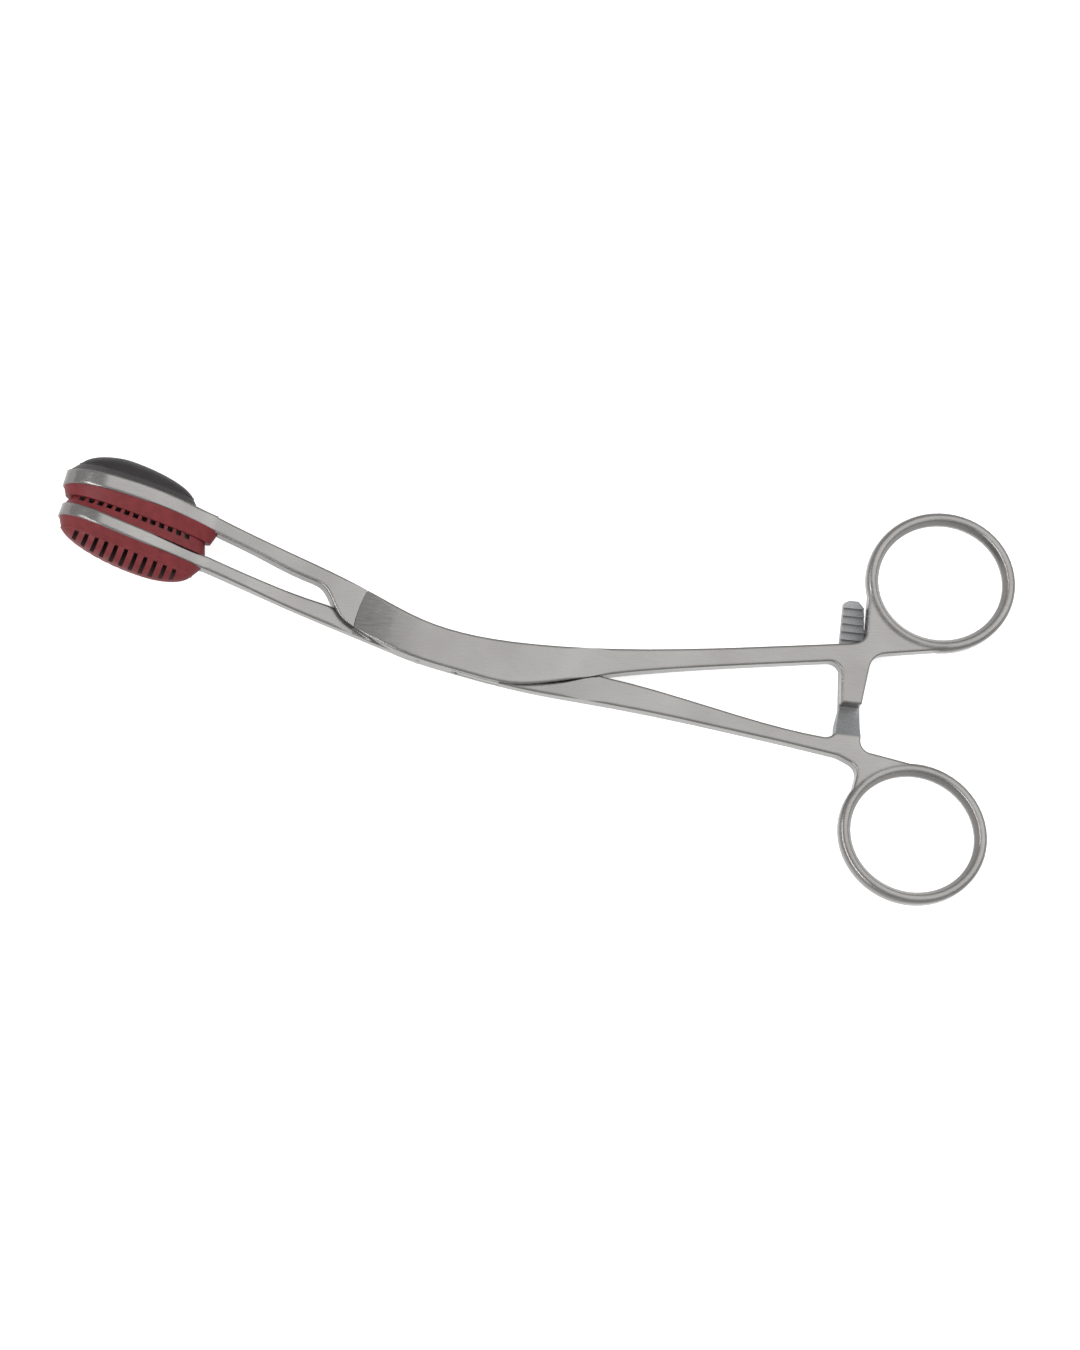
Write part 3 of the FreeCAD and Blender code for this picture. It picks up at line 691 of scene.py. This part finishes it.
def biting_side(jaw, other, sizes, has_notches):
    """Inner part of a pad: the flank from its lip down to the biting plane midway between the two jaws,
    with square notches across it, as one closed tube. Gives distances along, outward and across, and each
    point's depth in a notch from 0 to 1."""
    ends = []
    for place in (0, JAW_LENGTH):
        own, facing = jaw.place(place, -jaw.height / 2), other.place(place, -other.height / 2)
        ends.append(jaw.local((own[0] + facing[0]) / 2, (own[1] + facing[1]) / 2))
    fall = (ends[1][1] - ends[0][1]) / (ends[1][0] - ends[0][0])

    def plane(along):
        return ends[0][1] + BITE_GAP / 2 + (along - ends[0][0]) * fall

    def lip(along):
        return -jaw.height / 2 + jaw.bow(along)

    def outline(share):
        inset = LIP_INSET + (SHOULDER_INSET - LIP_INSET) * share
        return jaw_outline(inset, inset, jaw.bite_heel + BITE_SLANT * share)

    start, end = LIP_INSET, JAW_LENGTH - jaw.bite_heel
    for _ in range(8):
        start = outline((lip(start) - plane(start)) / BITE_FLANK)[0]
        end = outline((lip(end) - plane(end)) / BITE_FLANK)[2]
    centres = slot_centres(ends[0][0] + JAW_LENGTH / 2, sizes.notch_pitch, sizes.notch_count)
    walls = slot_walls(centres, sizes.notch_width) if has_notches else np.zeros(0)
    along = stations(start, end, walls, sizes.draft)
    deep = (lip(along) - plane(along)) / BITE_FLANK
    turn = turn_at(outline(deep), along)
    share = slot_share(along, centres, sizes.notch_width, sizes.draft) if has_notches else 0 * along
    face = plane(along) + sizes.notch_depth * share

    down = np.linspace(0, 1, BITE_FLANK_ROWS)[:, None]
    flank_along, flank_across = around(outline(deep * down), turn)
    flank_outward = np.maximum(lip(flank_along) * (1 - down) + plane(along) * down, face)
    in_notch = np.where(flank_outward <= face, share, 0)
    over = rows_over_face()
    grid = (len(over), len(along))
    face_along = np.broadcast_to(flank_along[-1], grid)
    lip_along = np.broadcast_to(flank_along[0], grid)
    return [
        np.vstack([flank_along, face_along, flank_along[::-1], lip_along]),
        np.vstack([flank_outward, np.broadcast_to(face, grid), flank_outward[::-1], lip(lip_along)]),
        np.vstack([flank_across, flank_across[-1] * over, -flank_across[::-1], -flank_across[0] * over]),
        np.vstack([in_notch, np.broadcast_to(share, grid), in_notch[::-1], np.zeros(grid)]),
    ]


def rubber_pad(jaw, other, sizes, has_slots):
    """One pad from its two closed parts, with its faces pointing out. The crowned part takes the first
    material, the biting part the second and the slots and notches the third."""
    points, faces, finishes = [], [], []
    offset = 0
    parts = crowned_side(jaw, sizes, has_slots), biting_side(jaw, other, sizes, has_slots)
    for index, (along, outward, across, depth) in enumerate(parts):
        x, y = jaw.place(along, outward)
        points.append(np.stack([x, y, MID_PLANE + across], axis=-1).reshape(-1, 3) * MM)
        quads = grid_faces(*along.shape, offset)
        faces.append(quads)
        finishes.append(np.where(depth.ravel()[quads - offset].mean(axis=1) > SHADED_DEPTH, 2, index))
        offset += along.size
    name = jaw.name + "_pad_rubber"
    mesh = bpy.data.meshes.new(name)
    mesh.from_pydata(np.concatenate(points).tolist(), [], np.concatenate(faces).tolist())
    mesh.polygons.foreach_set("material_index", np.concatenate(finishes))
    shape = bmesh.new()
    shape.from_mesh(mesh)
    bmesh.ops.remove_doubles(shape, verts=shape.verts, dist=0.002 * MM)
    bmesh.ops.recalc_face_normals(shape, faces=shape.faces)
    shape.to_mesh(mesh)
    shape.free()
    mesh.shade_smooth()
    mesh.set_sharp_from_angle(angle=math.radians(RUBBER_SHARP_TURN))
    piece = new_object(name, mesh)
    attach(piece, frame["nodes"][jaw.name + "_pad"]["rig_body"])
    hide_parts(jaw.name + "_pad")
    return piece


# Studio


def seen_by_camera_or_gloss(tree):
    """1 for camera, glossy and transmission rays, 0 for the light that falls on matt surfaces."""
    path = add_node(tree, "ShaderNodeLightPath")
    seen = path.outputs["Is Camera Ray"]
    for name in ("Is Glossy Ray", "Is Transmission Ray"):
        seen = add_node(
            tree, "ShaderNodeMath", {"operation": "MAXIMUM"}, {0: seen, 1: path.outputs[name]}
        ).outputs[0]
    return seen


def add_lamp(name, place, size, power):
    """Square or long area lamp that faces the lock."""
    lamp = bpy.data.lights.new(name, "AREA")
    lamp.shape = "RECTANGLE"
    lamp.energy = power
    lamp.size, lamp.size_y = size
    holder = new_object(name, lamp)
    holder.location = place
    holder.rotation_euler = (-place).to_track_quat("-Z", "Y").to_euler()


def add_floor():
    """Pale floor under the lowest point. It glows for the camera, so that it shows as white."""
    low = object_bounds()[0][2] - FLOOR_DROP
    corners = [(x * FLOOR_REACH, y * FLOOR_REACH, low) for x, y in ((-1, -1), (1, -1), (1, 1), (-1, 1))]
    mesh = bpy.data.meshes.new("floor")
    mesh.from_pydata(corners, [], [(0, 1, 2, 3)])
    floor = new_object("floor", mesh)
    material, tree = new_material("pale_floor")
    matt = add_node(tree, "ShaderNodeBsdfDiffuse", inputs={"Color": linear("#E6E6E6")})
    glow = add_node(tree, "ShaderNodeEmission", inputs={"Color": (1, 1, 1, 1), "Strength": 0.75})
    both = add_node(tree, "ShaderNodeAddShader", inputs={0: matt.outputs[0], 1: glow.outputs[0]})
    mix = add_node(
        tree,
        "ShaderNodeMixShader",
        inputs={0: seen_by_camera_or_gloss(tree), 1: matt.outputs[0], 2: both.outputs[0]},
    )
    add_node(tree, "ShaderNodeOutputMaterial", inputs={"Surface": mix.outputs[0]})
    mesh.materials.append(material)
    floor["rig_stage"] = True


def add_world(ambient):
    """Dim world for matt surfaces, which the camera, gloss and glass see as white."""
    world = bpy.data.worlds.new("studio")
    bpy.context.scene.world = world
    world.use_nodes = True
    tree = world.node_tree
    tree.nodes.clear()
    dim, white = (
        add_node(tree, "ShaderNodeBackground", inputs={"Color": (1, 1, 1, 1), "Strength": strength})
        for strength in (ambient, 1.0)
    )
    mix = add_node(
        tree,
        "ShaderNodeMixShader",
        inputs={0: seen_by_camera_or_gloss(tree), 1: dim.outputs[0], 2: white.outputs[0]},
    )
    add_node(tree, "ShaderNodeOutputWorld", inputs={"Surface": mix.outputs[0]})


def add_camera(distance, scale):
    """Camera a little left of and below the upright view of the face."""
    right = VIEW_UP.cross(VIEW_TOWARD)
    camera = bpy.data.cameras.new("photo_camera")
    camera.sensor_fit = "VERTICAL"
    camera.sensor_height = SENSOR_HEIGHT
    camera.lens = SENSOR_HEIGHT * distance / (FRAME_SIZE[1] * scale)
    camera.clip_end = 20.0
    holder = new_object("photo_camera", camera)
    pin = Vector((0, 0, MID_PLANE)) * MM
    across = FRAME_SIZE[0] / 2 - PIN_IN_FRAME[0]
    upward = PIN_IN_FRAME[1] - FRAME_SIZE[1] / 2
    middle = pin + (right * across + VIEW_UP * upward) * scale
    turn = Matrix((right, VIEW_UP, VIEW_TOWARD)).transposed().to_4x4()
    holder.matrix_world = Matrix.Translation(middle + VIEW_TOWARD * distance) @ turn
    bpy.context.scene.camera = holder


# Sizes and colours that a user may change


def length_setting(name, description, millimetres):
    """Length that a user may change, given in millimetres and held in metres."""
    return bpy.props.FloatProperty(
        name=name, description=description, default=millimetres * MM, min=0.0, unit="LENGTH", precision=5
    )


def colour_setting(name, description, hex_colour):
    """Colour that a user may change."""
    return bpy.props.FloatVectorProperty(
        name=name, description=description, default=linear(hex_colour), size=4, subtype="COLOR"
    )


def in_millimetres(look):
    """The lengths of a group of settings in millimetres, and its counts and colours as they are."""
    values = {name: getattr(look, name) for name in look.__annotations__}
    return SimpleNamespace(**{
        name: value / MM if isinstance(value, float) else value for name, value in values.items()
    })


class SteelLook(bpy.types.PropertyGroup):
    """Finish of the forged steel halves."""

    grain_spacing: length_setting("Grain spacing", "Distance between grinding lines", 0.25)
    roughness: bpy.props.FloatProperty(
        name="Roughness",
        description="Mean roughness of the satin face",
        default=0.23,
        min=0.0,
        max=1.0,
        subtype="FACTOR",
    )
    edge_rounding: length_setting("Edge rounding", "Radius of the broken edges", 0.75)
    crest_fall: length_setting("Crest fall", "Fall of the lock's face toward the seam", 0.7)
    crest_length: length_setting("Crest length", "Length over which the lock's face falls", 13)
    # Painted light: a lighter steel tone laid on the ratchet, where the rear bar lies in shade
    blasted_tone: colour_setting("Painted light tone", "Steel colour in the ratchet", "#A2A4A8")
    light_tone: colour_setting("Light tone", "Lighter steel colour", "#7B7A78")
    dark_tone: colour_setting("Dark tone", "Darker steel colour", "#6A6867")


class RubberLook(bpy.types.PropertyGroup):
    """Shape and colours of the two rubber pads."""

    crown_height: length_setting("Crown height", "Height of the crown over the steel ring's edge", 5.15)
    bead: length_setting("Bead", "Height of the bead under the shoulder line", 0.16)
    draft: length_setting("Draft", "Lean of the slots' walls over their height", 0.07)
    tread_count: bpy.props.IntProperty(
        name="Tread slots", description="Number of cross slots in the crown", default=11, min=1
    )
    tread_pitch: length_setting("Tread pitch", "Distance between the centres of cross slots", 1.86)
    tread_width: length_setting("Tread width", "Width of a cross slot", 0.7)
    tread_floor: length_setting("Tread floor", "Height of the slots' floor over the shoulder line", 0.05)
    tread_spine: length_setting("Tread spine", "Width of the spine between the two rows of slots", 1.6)
    tread_margin: length_setting("Tread margin", "Distance of the slots from the shoulder line", 0.05)
    notch_count: bpy.props.IntProperty(
        name="Notches", description="Number of square notches in the biting face", default=13, min=1
    )
    notch_pitch: length_setting("Notch pitch", "Distance between the centres of notches", 1.62)
    notch_width: length_setting("Notch width", "Width of a notch", 0.92)
    notch_depth: length_setting("Notch depth", "Depth of a notch", 0.85)
    red: colour_setting("Red", "Lighter rubber red", "#782C30")
    deep_red: colour_setting("Deep red", "Deeper rubber red", "#692427")
    slot_tone: colour_setting("Slot tone", "Rubber in the shade of slots and notches", "#2A1618")
    charcoal: colour_setting("Charcoal", "Lighter tone of the dark crown", "#262223")
    deep_charcoal: colour_setting("Deep charcoal", "Deeper tone of the dark crown", "#1E1B1C")


class StudioLook(bpy.types.PropertyGroup):
    """Camera and light of the studio."""

    camera_distance: bpy.props.FloatProperty(
        name="Camera distance",
        description="Distance from the lock to the camera",
        default=2.5,
        min=0.5,
        unit="LENGTH",
    )
    frame_scale: length_setting("Frame scale", "Width of one picture element at the forceps", 0.177)
    ambient: bpy.props.FloatProperty(
        name="Ambient", description="World strength that matt surfaces receive", default=0.3, min=0.0
    )
    softbox: bpy.props.FloatProperty(
        name="Softbox", description="Power of the large lamp above the face", default=42, unit="POWER"
    )
    strip: bpy.props.FloatProperty(
        name="Strip", description="Power of the small lamp low on the left", default=7, unit="POWER"
    )


# Operators


class FORCEPS_OT_steel(bpy.types.Operator):
    """Dress the two forged halves and the pivot pin in satin steel"""

    bl_idname = "forceps.steel"
    bl_label = "Steel halves and pin"

    def execute(self, context):
        look = context.scene.forceps_steel
        box_steel = satin_steel("satin_stainless_box_half", -4, look, True)
        through_steel = satin_steel("satin_stainless_through_half", 8, look, False)
        for node, name, steel in (
            ("box_half", "box_half_forging", box_steel),
            ("through_half", "through_half_forging", through_steel),
            ("pivot_pin", "pivot_pin_riveted", box_steel),
        ):
            piece = dressed_copy(node, name)
            piece.data.materials.append(steel)
            if node == "through_half":
                # The ratchet gets a lighter, half matt steel: painted light on the rear bar, which lies in
                # shade under the front bar
                piece.data.materials.append(painted_light_steel("blasted_stainless_ratchet", look))
                paint_light_on_ratchet(piece.data)
        return {"FINISHED"}


class FORCEPS_OT_pads(bpy.types.Operator):
    """Mould the two rubber pads, a dark crown on the upper one and treads and notches on the lower one"""

    bl_idname = "forceps.pads"
    bl_label = "Rubber pads"

    def execute(self, context):
        look = context.scene.forceps_rubber
        sizes = in_millimetres(look)
        red = moulded_rubber("moulded_red_rubber", look.deep_red, look.red)
        charcoal = moulded_rubber("moulded_charcoal_rubber", look.deep_charcoal, look.charcoal)
        shaded = moulded_rubber("shaded_slot_rubber", look.slot_tone, look.slot_tone)
        for jaw, other, has_slots, finishes in (
            (UPPER_JAW, LOWER_JAW, False, (charcoal, red)),
            (LOWER_JAW, UPPER_JAW, True, (red, red, shaded)),
        ):
            piece = rubber_pad(jaw, other, sizes, has_slots)
            for finish in finishes:
                piece.data.materials.append(finish)
        return {"FINISHED"}


class FORCEPS_OT_studio(bpy.types.Operator):
    """Set up the pale floor, the soft light and the camera"""

    bl_idname = "forceps.studio"
    bl_label = "Studio"

    def execute(self, context):
        studio = context.scene.forceps_studio
        add_floor()
        add_world(studio.ambient)
        add_lamp("softbox", SOFTBOX_PLACE, SOFTBOX_SIZE, studio.softbox)
        add_lamp("strip", STRIP_PLACE, STRIP_SIZE, studio.strip)
        add_camera(studio.camera_distance, studio.frame_scale)
        context.scene.view_settings.view_transform = "Standard"
        return {"FINISHED"}


class FORCEPS_PT_panel(bpy.types.Panel):
    """Sidebar panel that lists the steps and their settings"""

    bl_idname = "FORCEPS_PT_panel"
    bl_label = "Tongue forceps"
    bl_space_type = "VIEW_3D"
    bl_region_type = "UI"
    bl_category = "Forceps"

    def draw(self, context):
        for step in STEPS:
            self.layout.operator(step.bl_idname)
        scene = context.scene
        for look in (scene.forceps_steel, scene.forceps_rubber, scene.forceps_studio):
            box = self.layout.box()
            for name in look.__annotations__:
                box.prop(look, name)


STEPS = (FORCEPS_OT_steel, FORCEPS_OT_pads, FORCEPS_OT_studio)
CLASSES = (SteelLook, RubberLook, StudioLook) + STEPS + (FORCEPS_PT_panel,)


def register():
    """Register the classes and hang their settings on the scene."""
    for item in CLASSES:
        bpy.utils.register_class(item)
    bpy.types.Scene.forceps_steel = bpy.props.PointerProperty(type=SteelLook)
    bpy.types.Scene.forceps_rubber = bpy.props.PointerProperty(type=RubberLook)
    bpy.types.Scene.forceps_studio = bpy.props.PointerProperty(type=StudioLook)


def unregister():
    """Take the settings and the classes away again."""
    del bpy.types.Scene.forceps_steel
    del bpy.types.Scene.forceps_rubber
    del bpy.types.Scene.forceps_studio
    for item in reversed(CLASSES):
        bpy.utils.unregister_class(item)


def main():
    """Build every piece and the studio."""
    register()
    bpy.ops.forceps.steel()
    bpy.ops.forceps.pads()
    bpy.ops.forceps.studio()


if __name__ == "__main__":
    main()
